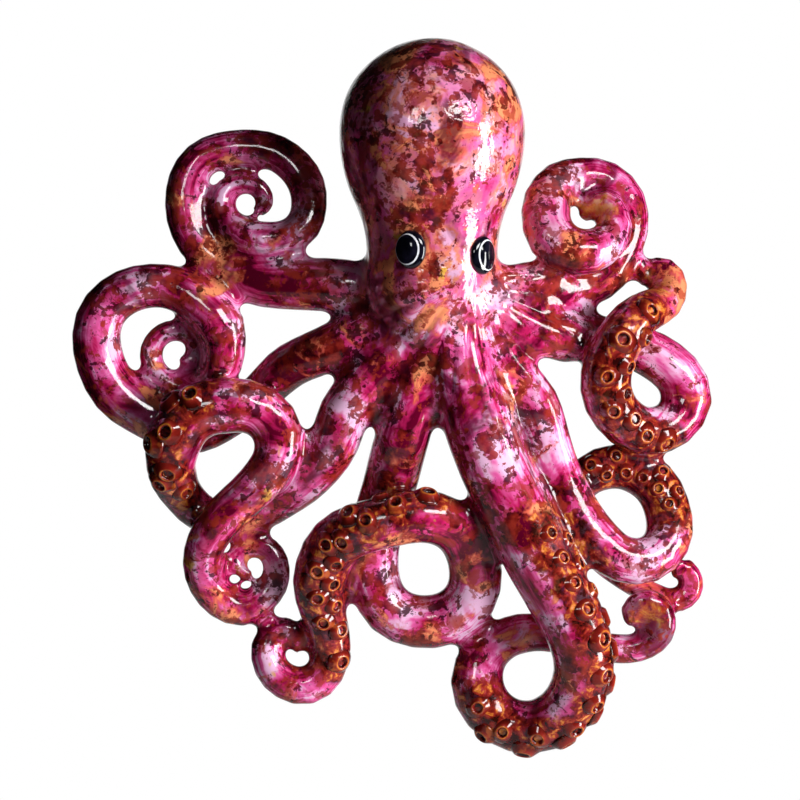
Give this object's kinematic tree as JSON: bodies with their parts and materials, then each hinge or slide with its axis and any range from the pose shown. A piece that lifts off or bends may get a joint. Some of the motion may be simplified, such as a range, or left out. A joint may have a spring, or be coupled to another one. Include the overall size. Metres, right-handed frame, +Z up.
{
  "type": "octopus figurine",
  "caption": "Wall-hung glazed ceramic octopus ornament with a hollow round head, a web, curled and crossing arms, applied suckers and eyes, and a hanging hole in the back.",
  "frame": {"origin": "mouth of the hanging hole on the wall plane, at the middle of the back slab", "axes": "+Z up the wall along the ornament's height, +Y into the wall, +X to the viewer's right; the front looks along -Y"},
  "size_m": [0.3232, 0.0865, 0.3611],
  "materials": {
    "mottled_glaze": "high gloss",
    "sucker_glaze": "high gloss",
    "eye_glaze": "high gloss",
    "slab_glaze": "gloss"
  },
  "bodies": {
    "root": {"mantle": "mottled_glaze", "web": "mottled_glaze", "back_slab": "slab_glaze", "eye_left": "eye_glaze", "eye_right": "eye_glaze", "arm_1": "mottled_glaze", "arm_2": "mottled_glaze", "arm_3": "mottled_glaze", "arm_4": "mottled_glaze", "arm_5": "mottled_glaze", "arm_6": "mottled_glaze", "arm_7": "mottled_glaze", "arm_8": "mottled_glaze", "suckers_arm_3": "sucker_glaze", "suckers_arm_4": "sucker_glaze", "suckers_arm_5": "sucker_glaze", "suckers_arm_6": "sucker_glaze", "suckers_arm_7": "sucker_glaze"}
  },
  "joints": []
}
